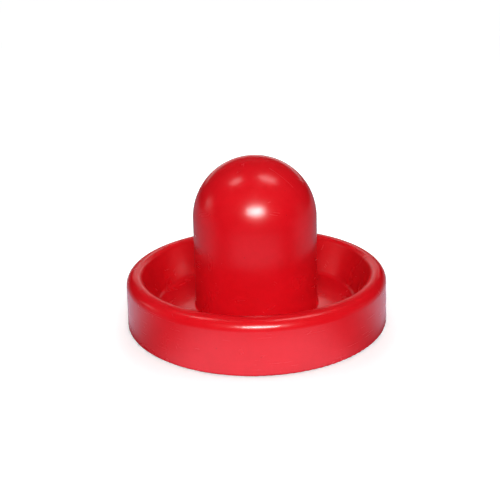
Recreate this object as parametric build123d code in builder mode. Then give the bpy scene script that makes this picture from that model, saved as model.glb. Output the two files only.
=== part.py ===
"""Air hockey pusher (striker): a moulded shell with a felt pad stuck under its tray.

The shell is one moulding of even thickness: an upright rim wall, a rounded rim, a tray round
the knob, and a hollow domed knob.  It is open underneath.  The felt pad slides on the table
and holds the rim's lower edge just clear of it.

Millimetres, +Z up.  The origin is on the table, on the pusher's axis.
"""

import os
from math import cos, radians, sin, tan

from build123d import *

# Overall sizes
overall_diameter = 96.0
overall_height = 60.0
rim_height = 19.0

# Shell
wall = 2.4
lip_gap = 0.6  # from the table up to the rim's lower edge
lip_round = 0.5
rim_draft = 2.5  # degrees from upright
rim_outer_round = 3.6
rim_inner_round = 2.0
rim_mouth_radius = 41.8  # where the tray's side would meet the flat of the rim
tray_radius = 37.3  # where the tray's side would meet its floor
tray_round = 1.6
knob_dome_radius = 22.2
knob_draft = 1.0  # degrees from upright
knob_foot_round = 0.6

# Stiffening ribs in the hollow of the rim, and the moulding gate's stub inside the dome
rib_count = 12
rib_thickness = 1.4
rib_recess = 3.6  # from the rim's lower edge up to the ribs
gate_radius = 1.6
gate_length = 1.0

# Pad
felt_thickness = 2.4
film_thickness = 0.2
felt_inner_radius = 24.0
felt_outer_radius = 36.4

# Worked out from the sizes above
lip_radius = overall_diameter / 2 + lip_round * tan(radians(rim_draft))  # before the lip is rounded
rim_top_radius = lip_radius - (rim_height - lip_gap) * tan(radians(rim_draft))
floor_height = felt_thickness + film_thickness + wall
dome_base_height = overall_height - knob_dome_radius
knob_foot_radius = knob_dome_radius + (dome_base_height - floor_height) * tan(radians(knob_draft))


def rib_plane(index):
    """Upright plane through the axis, its x pointing outwards along one rib."""
    angle = radians(360 * index / rib_count)
    outwards = (cos(angle), sin(angle), 0)
    sideways = (sin(angle), -cos(angle), 0)
    return Plane(origin=(0, 0, 0), x_dir=outwards, z_dir=sideways)


# The shell is its outer skin, given one thickness and turned about the axis.
with BuildPart() as pusher_body:
    with BuildSketch(Plane.XZ):
        with BuildLine():
            FilletPolyline(
                (lip_radius, lip_gap),
                (rim_top_radius, rim_height),
                (rim_mouth_radius, rim_height),
                (tray_radius, floor_height),
                (knob_foot_radius, floor_height),
                (knob_dome_radius, dome_base_height),
                radius=[rim_outer_round, rim_inner_round, tray_round, knob_foot_round],
            )
            CenterArc((0, dome_base_height), knob_dome_radius, 0, 90)
            offset(amount=wall, side=Side.LEFT)
        make_face()
    revolve(axis=Axis.Z)

    # The offset leaves the rim's lower edge square to its drafted wall: cut it level, then ease it.
    split(bisect_by=Plane.XY.offset(lip_gap))
    lip = pusher_body.faces().sort_by(Axis.Z)[0]
    fillet(lip.edges(), radius=lip_round)

    # Each rib fills the rim's hollow from the middle of one wall to the middle of the other.
    rib_foot = lip_gap + rib_recess
    rib_top = rim_height - wall / 2
    for index in range(rib_count):
        with BuildSketch(rib_plane(index)):
            with BuildLine():
                Polyline(
                    (tray_radius + wall / 2, rib_foot),
                    (lip_radius - wall / 2, rib_foot),
                    (rim_top_radius - wall / 2, rib_top - wall / 2),
                    (rim_mouth_radius + wall / 2, rib_top),
                    close=True,
                )
            make_face()
        extrude(amount=rib_thickness / 2, both=True)

    # The gate's stub hangs from the top of the hollow dome.
    with BuildSketch(Plane.XY.offset(overall_height - wall - gate_length)):
        Circle(gate_radius)
    extrude(amount=gate_length + wall / 2)

pusher_body.part.label = "pusher_body"

# A ring of felt, which touches the table.
with BuildPart() as felt_pad:
    with BuildSketch(Plane.XY):
        Circle(felt_outer_radius)
        Circle(felt_inner_radius, mode=Mode.SUBTRACT)
    extrude(amount=felt_thickness)

felt_pad.part.label = "felt_pad"

# Double-sided film of the same outline, which sticks the felt to the underside of the tray.
with BuildPart() as adhesive_film:
    with BuildSketch(Plane.XY.offset(felt_thickness)):
        Circle(felt_outer_radius)
        Circle(felt_inner_radius, mode=Mode.SUBTRACT)
    extrude(amount=film_thickness)

adhesive_film.part.label = "adhesive_film"

os.makedirs("parts", exist_ok=True)
for piece in (pusher_body, felt_pad, adhesive_film):
    export_step(piece.part, f"parts/{piece.part.label}.step")
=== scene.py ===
"""Looks, light and camera for the air hockey pusher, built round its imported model.

Metres, +Z up, in the model's own frame: the origin is on the table, on the pusher's axis.
"""

import math
import random

import bpy
from mathutils import Matrix, Vector, noise


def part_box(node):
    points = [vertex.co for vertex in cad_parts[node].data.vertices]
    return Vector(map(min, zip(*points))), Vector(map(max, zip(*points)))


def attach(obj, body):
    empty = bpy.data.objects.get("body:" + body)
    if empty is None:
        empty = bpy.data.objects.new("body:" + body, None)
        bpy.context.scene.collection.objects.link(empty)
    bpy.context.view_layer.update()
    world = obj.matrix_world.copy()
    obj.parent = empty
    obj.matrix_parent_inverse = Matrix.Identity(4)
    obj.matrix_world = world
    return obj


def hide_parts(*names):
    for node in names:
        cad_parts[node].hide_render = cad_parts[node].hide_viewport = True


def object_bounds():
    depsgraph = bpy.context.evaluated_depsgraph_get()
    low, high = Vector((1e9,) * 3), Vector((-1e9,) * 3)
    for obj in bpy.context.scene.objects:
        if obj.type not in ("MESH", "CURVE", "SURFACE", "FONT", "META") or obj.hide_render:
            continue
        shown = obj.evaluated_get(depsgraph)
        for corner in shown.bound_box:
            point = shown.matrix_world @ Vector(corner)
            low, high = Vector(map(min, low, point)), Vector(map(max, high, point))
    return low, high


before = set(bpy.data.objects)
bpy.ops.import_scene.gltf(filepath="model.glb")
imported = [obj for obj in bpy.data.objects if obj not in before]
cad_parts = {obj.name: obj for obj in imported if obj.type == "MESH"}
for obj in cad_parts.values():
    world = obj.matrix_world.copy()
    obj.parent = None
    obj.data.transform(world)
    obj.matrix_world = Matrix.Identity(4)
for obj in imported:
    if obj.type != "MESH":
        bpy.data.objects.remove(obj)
cad_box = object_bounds()

MM = 0.001
TURN = 2 * math.pi

# The pusher, as its frame gives it
overall_height = cad_box[1].z
rim_radius = cad_box[1].x
felt_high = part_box("felt_pad")[1]
felt_outer_radius = felt_high.x
felt_thickness = felt_high.z

# The pusher's sizes that a box doesn't give
FELT_INNER_RADIUS = 24 * MM
DOME_RADIUS = 22.2 * MM
RIB_COUNT = 12

# Camera: close and a little above, as a hand-held product shot
CAMERA_DISTANCE = 240 * MM
CAMERA_ELEVATION = 18.7  # degrees
CAMERA_ROLL = 1.4  # degrees
CAMERA_LENS = 47.5  # millimetres, on a 36 mm sensor
CAMERA_CENTRE = Vector((0, 0, overall_height / 2))
CAMERA_AIM = Vector((-2.0 * MM, 0, 25.2 * MM))


def around_axis(radius, angle, z):
    return Vector((radius * math.cos(angle), radius * math.sin(angle), z))


def direction(azimuth, elevation):
    """Unit vector: azimuth 0 is towards -Y, the camera's side, and grows towards +X."""
    a, e = math.radians(azimuth), math.radians(elevation)
    return Vector((math.sin(a) * math.cos(e), -math.cos(a) * math.cos(e), math.sin(e)))


# ---------------------------------------------------------------- node helpers

def new_material(name):
    """A new material, its node tree and its Principled shader."""
    material = bpy.data.materials.new(name)
    material.use_nodes = True
    tree = material.node_tree
    return material, tree, tree.nodes["Principled BSDF"]


def feed(tree, socket, value):
    """Links a socket if the value is a socket, and sets it otherwise."""
    if isinstance(value, bpy.types.NodeSocket):
        tree.links.new(value, socket)
    else:
        socket.default_value = value


def add(tree, kind, inputs, output=0, **settings):
    """Adds a node and returns one of its outputs.  An input is a value, or the socket that feeds it."""
    node = tree.nodes.new("ShaderNode" + kind)
    for key, value in settings.items():
        setattr(node, key, value)
    for key, value in inputs.items():
        feed(tree, node.inputs[key], value)
    return node.outputs[output]


def calc(tree, operation, a, b=0.0):
    return add(tree, "Math", {0: a, 1: b}, operation=operation)


def times(tree, a, b):
    return calc(tree, "MULTIPLY", a, b)


def plus(tree, first, *others):
    for other in others:
        first = calc(tree, "ADD", first, other)
    return first


def largest(tree, first, *others):
    for other in others:
        first = calc(tree, "MAXIMUM", first, other)
    return first


def gap(tree, value, level):
    """How far a value is from a level, either way."""
    return calc(tree, "ABSOLUTE", calc(tree, "SUBTRACT", value, level))


def ramp(tree, value, start, end, low=0.0, high=1.0):
    """Smooth step: low up to start, high past end.  Start may be the larger."""
    inputs = {"Value": value, "From Min": start, "From Max": end, "To Min": low, "To Max": high}
    return add(tree, "MapRange", inputs, interpolation_type="SMOOTHSTEP")


def blend(tree, amount, a, b):
    """Colour a, changing to colour b with amount."""
    return add(tree, "Mix", {0: amount, 6: a, 7: b}, output=2, data_type="RGBA")


def object_place(tree):
    """Where a point of the surface is on its object, in metres."""
    return add(tree, "TexCoord", {}, output="Object")


def coordinates(tree, place):
    return [add(tree, "SeparateXYZ", {"Vector": place}, output=k) for k in range(3)]


def reach_along(tree, vector, way):
    """How far a vector reaches along one direction."""
    return add(tree, "VectorMath", {0: vector, 1: way}, output="Value", operation="DOT_PRODUCT")


def length_of(tree, vector):
    return add(tree, "VectorMath", {0: vector}, output="Value", operation="LENGTH")


def grain(tree, place, size, detail=2.0, warp=0.0):
    """Noise from 0 to 1, about 0.5, whose blobs are about size across."""
    inputs = {"Vector": place, "Scale": 1 / size, "Detail": detail, "Distortion": warp}
    return add(tree, "TexNoise", inputs)


def stretched_grain(tree, place, angles, size, detail=2.0, warp=0.0):
    """Noise turned by angles, in degrees, whose blobs are as long as size says along each axis."""
    turn = [math.radians(a) for a in angles]
    squeeze = [1 / s for s in size]
    turned = add(tree, "Mapping", {"Vector": place, "Rotation": turn, "Scale": squeeze})
    inputs = {"Vector": turned, "Scale": 1.0, "Detail": detail, "Distortion": warp}
    return add(tree, "TexNoise", inputs)


def give_relief(tree, shader, height):
    """Bumps the surface by a height in millimetres."""
    bump = add(tree, "Bump", {"Height": height, "Distance": MM, "Strength": 1.0})
    feed(tree, shader.inputs["Normal"], bump)


# ------------------------------------------------------------ moulded plastic

RED = (0.675, 0.004, 0.010, 1)
RED_DEEP = (0.62, 0.0035, 0.008, 1)
RED_WORN = (0.76, 0.040, 0.050, 1)
SPECK = (0.25, 0.004, 0.006, 1)
PLASTIC_IOR = 1.55
PLASTIC_ROUGHNESS = (0.22, 0.28)  # clean, smudged

# How large the plastic's patterns are
FLOW_SIZE = 16 * MM
MOTTLE_SIZE = 2.2 * MM
PIGMENT_SIZE = 0.5 * MM
SPECK_SPACING = 4.2 * MM
SPECK_FADE = (0.055, 0.03)  # of the spacing
SMUDGE_SIZE = 11 * MM
STREAK_SIZE = (14 * MM, 14 * MM, 0.35 * MM)
SCUFF_SIZE = 2.6 * MM
PEEL_SIZE = 1.3 * MM
WAVE_SIZE = 13 * MM

# Where wear shows on the rim: inwards from its outside, and up from its lower edge
WALL_FADE = (rim_radius - 1.6 * MM, rim_radius - 0.6 * MM)
LOW_EDGE_FADE = (3.2 * MM, 0.8 * MM)

# Fine scratches: the direction that each family lies square to, and how sparse it is
HAIRLINES = ((25, 20, 0.66), (80, 48, 0.67), (130, 75, 0.66), (-70, 60, 0.66))
HAIRLINE_SPACING = 2.4 * MM
HAIRLINE_GROUP = 6 * MM
HAIRLINE_EDGE = (0.035, 0.010)  # of the spacing, roughly
HAIRLINE_SLANT = (0.7, 0.45)  # 1 where the surface lies along a family's planes

# The dome's scratch lies on a plane square to this direction, this far from the dome's centre
SCRATCH_AZIMUTH = 136
SCRATCH_ELEVATION = 29
SCRATCH_REACH = 0.325 * DOME_RADIUS
SCRATCH_EDGE = (0.26 * MM, 0.08 * MM)
SCRATCH_START = (2 * MM, 10 * MM)  # along X, where it fades in
SCRATCH_END = (17 * MM, 12 * MM)  # along X, where it fades out
SCRATCH_FRONT = (-4 * MM, -7 * MM)  # along Y, so that the plane marks only the dome's front

# How much each kind of wear pales the red
RUBBED_WEAR = 0.07
SCUFFED_WEAR = 0.08
HAIRLINE_WEAR = 0.045
SCRATCH_WEAR = 0.12

# Relief, in millimetres
PEEL_HEIGHT = 0.004
WAVE_HEIGHT = 0.06
SINK_DEPTH = 0.012
SINK_SHARPNESS = 60
WEAR_DEPTH = 0.004


def hairlines(tree, place, azimuth, elevation, sparse):
    """Fine scratches along planes square to one direction, 1 on a scratch and 0 off it, in short groups."""
    across = direction(azimuth, elevation)
    uneven = {"W": reach_along(tree, place, across), "Scale": 1 / HAIRLINE_SPACING, "Detail": 0.0}
    level = add(tree, "TexNoise", uneven, noise_dimensions="1D")
    on_line = ramp(tree, gap(tree, level, 0.5), *HAIRLINE_EDGE)
    groups = stretched_grain(tree, place, (azimuth, elevation, 0), [HAIRLINE_GROUP] * 3, 1.0)
    lines = times(tree, on_line, ramp(tree, groups, sparse, sparse + 0.08))
    # Where the surface lies along the planes, a line would smear into a patch
    normal = add(tree, "NewGeometry", {}, output="Normal")
    slant = calc(tree, "ABSOLUTE", reach_along(tree, normal, across))
    return times(tree, lines, ramp(tree, slant, *HAIRLINE_SLANT))


def dome_scratch(tree, place):
    """One long, faint arc that was scratched across the dome's front right shoulder."""
    dome_centre = (0, 0, overall_height - DOME_RADIUS)
    from_dome = add(tree, "VectorMath", {0: place, 1: dome_centre}, operation="SUBTRACT")
    reach = reach_along(tree, from_dome, direction(SCRATCH_AZIMUTH, SCRATCH_ELEVATION))
    line = ramp(tree, gap(tree, reach, SCRATCH_REACH), *SCRATCH_EDGE)
    x, y, _ = coordinates(tree, place)
    stretch = times(tree, ramp(tree, x, *SCRATCH_START), ramp(tree, x, *SCRATCH_END))
    return times(tree, line, times(tree, stretch, ramp(tree, y, *SCRATCH_FRONT)))


def plastic_colour(tree, place):
    """Red with slow flow marks, a finer mottle, a pigment grain and a few specks of dust."""
    flow = grain(tree, place, FLOW_SIZE, 3.0, 0.6)
    mottle = grain(tree, place, MOTTLE_SIZE)
    pigment = grain(tree, place, PIGMENT_SIZE)
    tone = plus(tree, times(tree, flow, 0.6), times(tree, pigment, 0.3), times(tree, mottle, 0.4))
    colour = blend(tree, ramp(tree, tone, 0.45, 0.85), RED_DEEP, RED)
    cells = {"Vector": place, "Scale": 1 / SPECK_SPACING}
    speck_gap = add(tree, "TexVoronoi", cells, output="Distance")
    speck = ramp(tree, speck_gap, *SPECK_FADE, 0.0, 0.5)
    return blend(tree, speck, colour, SPECK)


def plastic_wear(tree, place, z, on_wall):
    """How worn the plastic is: hairlines, the dome's scratch, and a rim rubbed by the table's sides."""
    marks = largest(tree, *(hairlines(tree, place, *family) for family in HAIRLINES))
    streaks = stretched_grain(tree, place, (0, 0, 0), STREAK_SIZE, 3.0)
    rubbed = times(tree, on_wall, ramp(tree, streaks, 0.58, 0.75))
    low_edge = times(tree, on_wall, ramp(tree, z, *LOW_EDGE_FADE))
    scuffed = times(tree, low_edge, ramp(tree, grain(tree, place, SCUFF_SIZE, 4.0), 0.50, 0.72))
    return largest(
        tree,
        times(tree, rubbed, RUBBED_WEAR),
        times(tree, scuffed, SCUFFED_WEAR),
        times(tree, marks, HAIRLINE_WEAR),
        times(tree, dome_scratch(tree, place), SCRATCH_WEAR),
    )


def sink_marks(tree, x, y, on_wall):
    """1 on the rim's wall over a stiffening rib, where the cooling plastic shrank, and 0 between ribs."""
    rib_turn = times(tree, calc(tree, "ARCTAN2", y, x), RIB_COUNT / 2)
    over_rib = calc(tree, "POWER", calc(tree, "ABSOLUTE", calc(tree, "COSINE", rib_turn)), SINK_SHARPNESS)
    return times(tree, over_rib, on_wall)


def moulded_plastic():
    """Glossy red ABS: faint flow marks and orange peel, specks, handling hairlines and a rubbed rim."""
    material, tree, shader = new_material("moulded_plastic")
    place = object_place(tree)
    x, y, z = coordinates(tree, place)
    radius = length_of(tree, add(tree, "VectorMath", {0: place, 1: (1, 1, 0)}, operation="MULTIPLY"))
    on_wall = ramp(tree, radius, *WALL_FADE)

    wear = plastic_wear(tree, place, z, on_wall)
    feed(tree, shader.inputs["Base Color"], blend(tree, wear, plastic_colour(tree, place), RED_WORN))

    # Gloss: smudged by fingers, duller where it is worn
    smudge = ramp(tree, grain(tree, place, SMUDGE_SIZE, 4.0, 1.2), 0.3, 0.75, *PLASTIC_ROUGHNESS)
    feed(tree, shader.inputs["Roughness"], plus(tree, smudge, times(tree, wear, 0.5)))

    peel = times(tree, grain(tree, place, PEEL_SIZE, 1.0), PEEL_HEIGHT)
    waves = times(tree, grain(tree, place, WAVE_SIZE, 1.0), WAVE_HEIGHT)
    sinks = times(tree, sink_marks(tree, x, y, on_wall), -SINK_DEPTH)
    give_relief(tree, shader, plus(tree, peel, waves, sinks, times(tree, wear, -WEAR_DEPTH)))
    shader.inputs["IOR"].default_value = PLASTIC_IOR
    return material


# --------------------------------------------------------------- felt and film

FELT_DARK = (0.006, 0.006, 0.007, 1)
FELT_LIGHT = (0.075, 0.073, 0.076, 1)
FIBRE_DARK = (0.010, 0.010, 0.011, 1)
FIBRE_LIGHT = (0.26, 0.255, 0.26, 1)
FILM_PALE = (0.76, 0.74, 0.68, 1)
FILM_GLUE = (0.60, 0.55, 0.44, 1)

# How large the patterns in the felt, its loose fibres and the film are
FELT_LAYS = (12, 58, 101, 149)  # degrees, the ways that the felt's fibres lie
TANGLE_SIZE = (2.2 * MM, 0.28 * MM, 0.28 * MM)
MATTED_SIZE = 0.8 * MM
PATCH_SIZE = 7 * MM
STRAND_SIZE = 1.1 * MM
SCALE_SIZE = 0.06 * MM
GLUE_SIZE = 5 * MM
TISSUE_SIZE = 0.25 * MM
RUBBED_FELT = 0.25 * MM  # up from the table, where the felt is greyer


def tangled(tree, place, angle):
    """Fine curled fibres that lie one way in the felt, as ridges from 0 to 1."""
    lines = stretched_grain(tree, place, (0, 0, angle), TANGLE_SIZE, 2.0, 1.2)
    return ramp(tree, gap(tree, lines, 0.5), 0.09, 0.0)


def pressed_felt():
    """Black wool felt: tangled fibres over matted wool, a soft bloom and a rubbed, greyer sliding face."""
    material, tree, shader = new_material("pressed_felt")
    place = object_place(tree)
    z = coordinates(tree, place)[2]
    matted = grain(tree, place, MATTED_SIZE, 4.0, 1.5)
    patches = grain(tree, place, PATCH_SIZE, 3.0, 1.0)
    fibres = largest(tree, *(tangled(tree, place, angle) for angle in FELT_LAYS))
    rubbed = ramp(tree, z, RUBBED_FELT, 0.0, 0.0, 0.06)
    patchy = times(tree, calc(tree, "SUBTRACT", patches, 0.5), 0.5)
    tone = plus(tree, times(tree, matted, 0.55), times(tree, fibres, 0.25), patchy, rubbed)
    colour = blend(tree, ramp(tree, tone, 0.30, 0.62), FELT_DARK, FELT_LIGHT)
    feed(tree, shader.inputs["Base Color"], colour)
    feed(tree, shader.inputs["Roughness"], ramp(tree, patches, 0.3, 0.7, 0.86, 0.98))
    give_relief(tree, shader, plus(tree, times(tree, matted, 0.35), times(tree, fibres, 0.10)))
    shader.inputs["Specular IOR Level"].default_value = 0.15
    shader.inputs["Sheen Weight"].default_value = 0.25
    shader.inputs["Sheen Roughness"].default_value = 0.5
    return material


def loose_wool():
    """The felt's loose fibres: the same wool, lighter and darker by turns, with fine scales."""
    material, tree, shader = new_material("loose_wool")
    place = object_place(tree)
    strand = grain(tree, place, STRAND_SIZE, 1.0)
    scales = grain(tree, place, SCALE_SIZE)
    tone = plus(tree, times(tree, strand, 0.8), times(tree, scales, 0.2))
    colour = blend(tree, ramp(tree, tone, 0.38, 0.64), FIBRE_DARK, FIBRE_LIGHT)
    feed(tree, shader.inputs["Base Color"], colour)
    feed(tree, shader.inputs["Roughness"], ramp(tree, scales, 0.3, 0.7, 0.55, 0.8))
    give_relief(tree, shader, times(tree, scales, 0.004))
    shader.inputs["Specular IOR Level"].default_value = 0.25
    shader.inputs["Sheen Weight"].default_value = 0.2
    return material


def adhesive_tape():
    """Double-sided film: pale tissue soaked unevenly with yellowish glue."""
    material, tree, shader = new_material("adhesive_tape")
    place = object_place(tree)
    glue = grain(tree, place, GLUE_SIZE, 4.0, 1.0)
    tissue = grain(tree, place, TISSUE_SIZE, 3.0)
    tone = plus(tree, times(tree, glue, 0.7), times(tree, tissue, 0.3))
    feed(tree, shader.inputs["Base Color"], blend(tree, ramp(tree, tone, 0.38, 0.62), FILM_PALE, FILM_GLUE))
    feed(tree, shader.inputs["Roughness"], ramp(tree, glue, 0.35, 0.65, 0.55, 0.3))
    give_relief(tree, shader, plus(tree, times(tree, tissue, 0.01), times(tree, glue, 0.04)))
    return material


# ---------------------------------------------------------------------- pieces

def set_material(node, material):
    """Gives every material slot of a CAD node the one material."""
    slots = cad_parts[node].data.materials
    if not slots:
        slots.append(material)
    for index in range(len(slots)):
        slots[index] = material


def mesh_object(name, verts, faces, material):
    mesh = bpy.data.meshes.new(name)
    mesh.from_pydata(verts, [], faces)
    mesh.materials.append(material)
    piece = bpy.data.objects.new(name, mesh)
    bpy.context.scene.collection.objects.link(piece)
    return piece


# Felt ring
FELT_STEPS = 288  # round the ring
FELT_EDGE = 0.45 * MM  # how far the cut edges are rounded by use
FELT_EDGE_STEPS = 5
FELT_FACE_STEPS = 15
FELT_SIDE_STEPS = 4
FELT_UNEVEN = 0.10 * MM
FELT_LUMP = 2.2 * MM
FELT_SMALL_LUMP = 0.8 * MM
FELT_FACE_SHARE = 0.6  # how uneven the sliding face is, next to the cut edges


def felt_section():
    """Closed outline of the felt's section, as (radius, z), with its two lower edges rounded."""
    inner, outer, top = FELT_INNER_RADIUS, felt_outer_radius, felt_thickness
    outline = []
    for k in range(FELT_FACE_STEPS + 1):  # glued face, outwards
        outline.append((inner + (outer - inner) * k / FELT_FACE_STEPS, top))
    for k in range(1, FELT_SIDE_STEPS):  # outer side, downwards
        outline.append((outer, top + (FELT_EDGE - top) * k / FELT_SIDE_STEPS))
    for k in range(FELT_EDGE_STEPS + 1):
        a = TURN / 4 * k / FELT_EDGE_STEPS
        outline.append((outer - FELT_EDGE * (1 - math.cos(a)), FELT_EDGE * (1 - math.sin(a))))
    for k in range(1, FELT_FACE_STEPS):  # sliding face, inwards
        outline.append((outer - FELT_EDGE + (inner - outer + 2 * FELT_EDGE) * k / FELT_FACE_STEPS, 0))
    for k in range(FELT_EDGE_STEPS + 1):
        a = TURN / 4 * (1 - k / FELT_EDGE_STEPS)
        outline.append((inner + FELT_EDGE * (1 - math.cos(a)), FELT_EDGE * (1 - math.sin(a))))
    for k in range(1, FELT_SIDE_STEPS):  # inner side, upwards
        outline.append((inner, FELT_EDGE + (top - FELT_EDGE) * k / FELT_SIDE_STEPS))
    return outline


def worn_point(radius, angle, z):
    """A point of the felt, moved inwards a little unless it is glued, as pressed wool is uneven."""
    point = around_axis(radius, angle, z)
    if z >= felt_thickness:
        return point
    lump = noise.noise(point / FELT_LUMP) + 0.5 * noise.noise(point / FELT_SMALL_LUMP)
    depth = FELT_UNEVEN * min(max(0.5 + 0.5 * lump, 0), 1)
    if z > 0:
        middle_radius = (FELT_INNER_RADIUS + felt_outer_radius) / 2
        radius -= math.copysign(depth, radius - middle_radius)
    return around_axis(radius, angle, max(z, depth * FELT_FACE_SHARE))


def felt_ring(material):
    """The felt: its section turned about the axis, then made uneven."""
    outline = felt_section()
    count = len(outline)
    verts, faces = [], []
    for step in range(FELT_STEPS):
        angle = TURN * step / FELT_STEPS
        verts += [worn_point(radius, angle, z) for radius, z in outline]
        after = (step + 1) % FELT_STEPS
        for k in range(count):
            n = (k + 1) % count
            faces.append((step * count + k, step * count + n, after * count + n, after * count + k))
    ring = mesh_object("felt_ring", verts, faces, material)
    ring.data.polygons.foreach_set("use_smooth", [True] * len(faces))
    return ring


# Loose fibres on the felt
FIBRE_SEED = 5
EDGE_FIBRES = 1500
EDGE_FIBRES_OUTSIDE = 0.62  # share of them on the outer edge
EDGE_FIBRE_ROOT = 0.12 * MM  # how far inside the edge they start
FACE_FIBRES = 1700
FACE_FIBRE_MARGIN = 1.5 * MM  # how far from the edges they start
FIBRE_RADIUS = 0.026 * MM
FIBRE_LENGTH = (0.5 * MM, 1.9 * MM)
FIBRE_CURL = 0.35
FIBRE_TAPER = 0.15  # of its radius, at each ring
FIBRE_RINGS = 4
FIBRE_SIDES = 3
FIBRE_LOWEST = 0.03 * MM
FIBRE_HIGHEST = felt_thickness - 0.05 * MM


def fibre_path(rng, start, heading, curl):
    """Middle line of one fibre, which curls away from its start and stays above the table."""
    step = rng.uniform(*FIBRE_LENGTH) / FIBRE_RINGS
    path = [start]
    for _ in range(FIBRE_RINGS):
        heading = heading.normalized() + curl * FIBRE_CURL
        point = path[-1] + heading.normalized() * step
        point.z = min(max(point.z, FIBRE_LOWEST), FIBRE_HIGHEST)
        path.append(point)
    return path


def random_curl(rng):
    return Vector([rng.uniform(-1, 1) for _ in range(3)])


def edge_fibre(rng):
    """A fibre that starts just inside a cut edge of the felt and curls out of it."""
    outwards = rng.random() < EDGE_FIBRES_OUTSIDE
    radius = felt_outer_radius - EDGE_FIBRE_ROOT if outwards else FELT_INNER_RADIUS + EDGE_FIBRE_ROOT
    angle = rng.uniform(0, TURN)
    out = around_axis(1, angle, 0) * (1 if outwards else -1)
    side = around_axis(1, angle + TURN / 4, 0)
    start = around_axis(radius, angle, rng.uniform(0.2, 0.92) * felt_thickness)
    heading = out * rng.uniform(0.2, 1) + side * rng.uniform(-1, 1) + Vector((0, 0, rng.uniform(-0.6, 0.4)))
    return fibre_path(rng, start, heading, random_curl(rng))


def face_fibre(rng):
    """A fibre pressed flat against the sliding face."""
    radius = rng.uniform(FELT_INNER_RADIUS + FACE_FIBRE_MARGIN, felt_outer_radius - FACE_FIBRE_MARGIN)
    start = around_axis(radius, rng.uniform(0, TURN), FIBRE_LOWEST)
    heading = around_axis(1, rng.uniform(0, TURN), 0)
    curl = random_curl(rng)
    curl.z = 0
    return fibre_path(rng, start, heading, curl)


def add_fibre(verts, faces, path):
    """Adds one fibre: rings of points along its path, closed at its root and drawn to a point at its tip."""
    base = len(verts)
    for k, point in enumerate(path[:-1]):
        along = (path[k + 1] - point).normalized()
        across = along.orthogonal().normalized()
        other = along.cross(across)
        thin = FIBRE_RADIUS * (1 - FIBRE_TAPER * k)
        for s in range(FIBRE_SIDES):
            a = TURN * s / FIBRE_SIDES
            verts.append(point + across * math.cos(a) * thin + other * math.sin(a) * thin)
    tip = len(verts)
    verts.append(path[-1])
    faces.append([base + s for s in reversed(range(FIBRE_SIDES))])
    for k in range(FIBRE_RINGS - 1):
        low, high = base + k * FIBRE_SIDES, base + (k + 1) * FIBRE_SIDES
        for s in range(FIBRE_SIDES):
            n = (s + 1) % FIBRE_SIDES
            faces.append((low + s, low + n, high + n, high + s))
    last = base + (FIBRE_RINGS - 1) * FIBRE_SIDES
    for s in range(FIBRE_SIDES):
        faces.append((last + s, last + (s + 1) % FIBRE_SIDES, tip))


def felt_fibres(material):
    rng = random.Random(FIBRE_SEED)
    paths = [edge_fibre(rng) for _ in range(EDGE_FIBRES)] + [face_fibre(rng) for _ in range(FACE_FIBRES)]
    verts, faces = [], []
    for path in paths:
        add_fibre(verts, faces, path)
    return mesh_object("felt_fibres", verts, faces, material)


set_material("pusher_body", moulded_plastic())
set_material("adhesive_film", adhesive_tape())

fibres = felt_fibres(loose_wool())
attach(fibres, "root")

ring = felt_ring(pressed_felt())
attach(ring, "root")
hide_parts("felt_pad")


# ----------------------------------------------------------------------- stage

STAGE_RADIUS = 3.0
STAGE_STEPS = 96
WALL_RADIUS = 2.9
WALL_HEIGHT = 6.0
CARD_DROP = 0.2 * MM  # how far the lit card lies under the floor
BLACK = (0, 0, 0, 1)
WHITE = (1, 1, 1, 1)
CARD_GLOW = (1.0, 0.92, 1.12, 1)
PAPER_GREY = (0.90, 0.90, 0.91, 1)
PAPER_WHITE = (0.93, 0.93, 0.93, 1)
PAPER_MOTTLE = 8 * MM

# Distances from the axis over which the floor's own glow grows, near the pusher and far off: it glows least
# next to the pusher, a painted soft shade round it, and more far off, painted light where the lamps fade
FLOOR_NEAR = (46 * MM, 90 * MM)
FLOOR_FAR = (90 * MM, 450 * MM)

# Distances from the axis over which the card's glow changes; under the rim it is dimmed, a painted shadow
# under the pusher's lip
CARD_UNDER_RIM = (rim_radius, rim_radius + 4 * MM)
CARD_NEAR = (76 * MM, 96 * MM)
CARD_FAR = (96 * MM, 180 * MM)


def stage_disc(name, material):
    rim = [around_axis(STAGE_RADIUS, TURN * k / STAGE_STEPS, 0) for k in range(STAGE_STEPS)]
    disc = mesh_object(name, rim, [list(range(STAGE_STEPS))], material)
    return disc


def hide_from(piece, *rays):
    """Keeps a stage piece out of some of Cycles' rays, such as glossy ones."""
    for ray in rays:
        setattr(piece, "visible_" + ray, False)


def pale_floor():
    """White sheet of paper, faintly mottled.  A glow that grows with distance keeps it near white: painted
    light far off, and a painted soft shade round the pusher, where it glows least.
    """
    material, tree, shader = new_material("pale_floor")
    place = object_place(tree)
    distance = length_of(tree, place)
    mottle = grain(tree, place, PAPER_MOTTLE, 3.0)
    feed(tree, shader.inputs["Base Color"], blend(tree, mottle, PAPER_GREY, PAPER_WHITE))
    feed(tree, shader.inputs["Roughness"], ramp(tree, mottle, 0.3, 0.7, 0.65, 0.8))
    # Painted shade: the glow is lower next to the pusher, leaving a grey halo round it like a soft shadow.
    # Painted light: the far glow grows where the lamps fade.
    near = ramp(tree, distance, *FLOOR_NEAR, 0.22, 0.45)
    far = ramp(tree, distance, *FLOOR_FAR, 0.0, 0.38)
    feed(tree, shader.inputs["Emission Strength"], plus(tree, near, far))
    shader.inputs["Emission Color"].default_value = WHITE
    shader.inputs["Specular IOR Level"].default_value = 0.2
    return material


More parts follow.
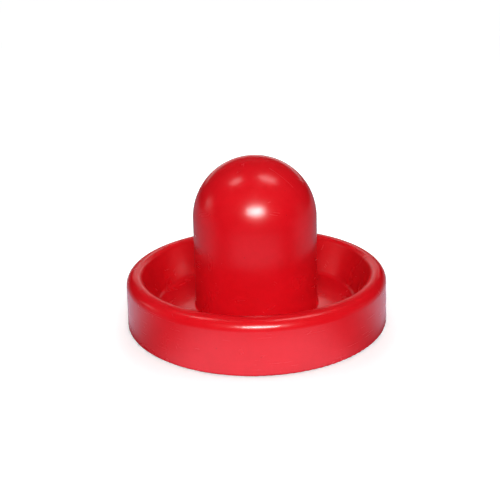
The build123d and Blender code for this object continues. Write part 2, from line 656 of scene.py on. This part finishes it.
def lighting_paper():
    """Hidden glowing card, painted light for the floor as the pusher sees it: bright in front of the pusher,
    dim beside and far off, with a painted shadow under the rim.
    """
    material, tree, shader = new_material("lighting_paper")
    place = object_place(tree)
    distance = length_of(tree, place)
    close_by = ramp(tree, distance, *CARD_NEAR, 1.0, 0.45)
    far = ramp(tree, distance, *CARD_FAR, 1.0, 0.2)
    # Painted shadow: the card glows least under the pusher and just past its rim, where the pusher would
    # shade the paper.
    painted_shadow_under_rim = ramp(tree, distance, *CARD_UNDER_RIM, 0.15, 1.0)
    facing = calc(tree, "DIVIDE", coordinates(tree, place)[1], distance)  # -1 straight in front, 0 beside
    front = ramp(tree, facing, -0.95, -0.6, 1.05, 0.22)
    beside = ramp(tree, facing, -0.55, -0.05, 0.0, 0.50)
    glow = plus(tree, times(tree, far, front), beside)
    feed(tree, shader.inputs["Emission Strength"], times(tree, times(tree, close_by, glow), painted_shadow_under_rim))
    shader.inputs["Emission Color"].default_value = CARD_GLOW
    shader.inputs["Base Color"].default_value = BLACK
    shader.inputs["Specular IOR Level"].default_value = 0
    return material


def backdrop():
    """Pale wall all round, seen by the camera only, so that it neither lights nor colours the object."""
    material, _, shader = new_material("pale_backdrop")
    shader.inputs["Base Color"].default_value = BLACK
    shader.inputs["Emission Color"].default_value = WHITE
    shader.inputs["Emission Strength"].default_value = 1.0
    verts, faces = [], []
    for k in range(STAGE_STEPS):
        angle = TURN * k / STAGE_STEPS
        verts += [around_axis(WALL_RADIUS, angle, 0), around_axis(WALL_RADIUS, angle, WALL_HEIGHT)]
        n = (k + 1) % STAGE_STEPS
        faces.append((2 * k, 2 * n, 2 * n + 1, 2 * k + 1))
    wall = mesh_object("backdrop", verts, faces, material)
    return wall


# The camera sees the floor, and the pusher is lit by the card that lies just under it
hide_from(stage_disc("floor", pale_floor()), "diffuse", "glossy", "shadow")
card = stage_disc("reflected_sheet", lighting_paper())
card.location.z = -CARD_DROP
hide_from(card, "camera", "shadow")
hide_from(backdrop(), "diffuse", "glossy", "shadow")


# ---------------------------------------------------------------------- lights

OVERHEAD_STRENGTH = 0.2
OVERHEAD_SPREAD = 120  # degrees
STUDIO_GREY = (0.155, 0.155, 0.155, 1)


def softbox(name, azimuth, elevation, distance, width, height, radiance, glossy=True):
    """Oval area light that faces the pusher.  Radiance is how bright its face looks."""
    light = bpy.data.lights.new(name, "AREA")
    light.shape = "ELLIPSE"
    light.size = width
    light.size_y = height
    light.energy = radiance * math.pi * (math.pi / 4 * width * height)
    lamp = bpy.data.objects.new(name, light)
    target = Vector((0, 0, overall_height / 2))
    lamp.location = target + direction(azimuth, elevation) * distance
    lamp.rotation_euler = (target - lamp.location).to_track_quat("-Z", "Y").to_euler()
    lamp.visible_glossy = glossy
    lamp.visible_camera = False
    bpy.context.scene.collection.objects.link(lamp)


def overhead_light():
    """Faint, very soft light from straight above, which leaves no highlight."""
    light = bpy.data.lights.new("overhead", "SUN")
    light.energy = OVERHEAD_STRENGTH
    light.angle = math.radians(OVERHEAD_SPREAD)
    lamp = bpy.data.objects.new("overhead", light)
    lamp.visible_glossy = False
    bpy.context.scene.collection.objects.link(lamp)


def studio_world():
    """Even grey light from all round, which leaves no reflection."""
    world = bpy.data.worlds.new("studio")
    world.use_nodes = True
    world.node_tree.nodes["Background"].inputs["Color"].default_value = STUDIO_GREY
    bpy.context.scene.world = world
    world.cycles_visibility.glossy = False


# Azimuth, elevation, distance, width, height, radiance.  The fills light the sides and the back.
softbox("key", 2, 27, 0.5, 0.25, 0.105, 35)
softbox("left_fill", -95, 9, 0.9, 0.5, 0.25, 3, glossy=False)
softbox("right_fill", 95, 9, 0.9, 0.5, 0.25, 3, glossy=False)
softbox("back_fill", 180, 24, 0.9, 0.7, 0.4, 5, glossy=False)

# These are there for what the glossy plastic shows: a line behind, two lamps above, and a window.
softbox("back_strip", 180, 16, 0.177, 0.26, 0.014, 2.2)
softbox("left_lamp", -92, 64.5, 0.6, 0.09, 0.19, 4.6)
softbox("right_lamp", 94, 71, 0.6, 0.09, 0.27, 6.0)
softbox("left_window", -101, 16, 0.8, 0.22, 0.18, 1.0)

overhead_light()
studio_world()


# ---------------------------------------------------------------------- camera

def make_camera():
    data = bpy.data.cameras.new("camera")
    data.lens = CAMERA_LENS
    data.sensor_width = 36
    data.clip_start = 10 * MM
    data.clip_end = 100
    camera = bpy.data.objects.new("camera", data)
    camera.location = CAMERA_CENTRE + direction(0, CAMERA_ELEVATION) * CAMERA_DISTANCE
    look = (CAMERA_AIM - camera.location).to_track_quat("-Z", "Y").to_matrix().to_4x4()
    roll = Matrix.Rotation(-math.radians(CAMERA_ROLL), 4, "Z")
    camera.matrix_world = Matrix.Translation(camera.location) @ look @ roll
    bpy.context.scene.collection.objects.link(camera)
    bpy.context.scene.camera = camera


make_camera()
bpy.context.scene.view_settings.view_transform = "Standard"
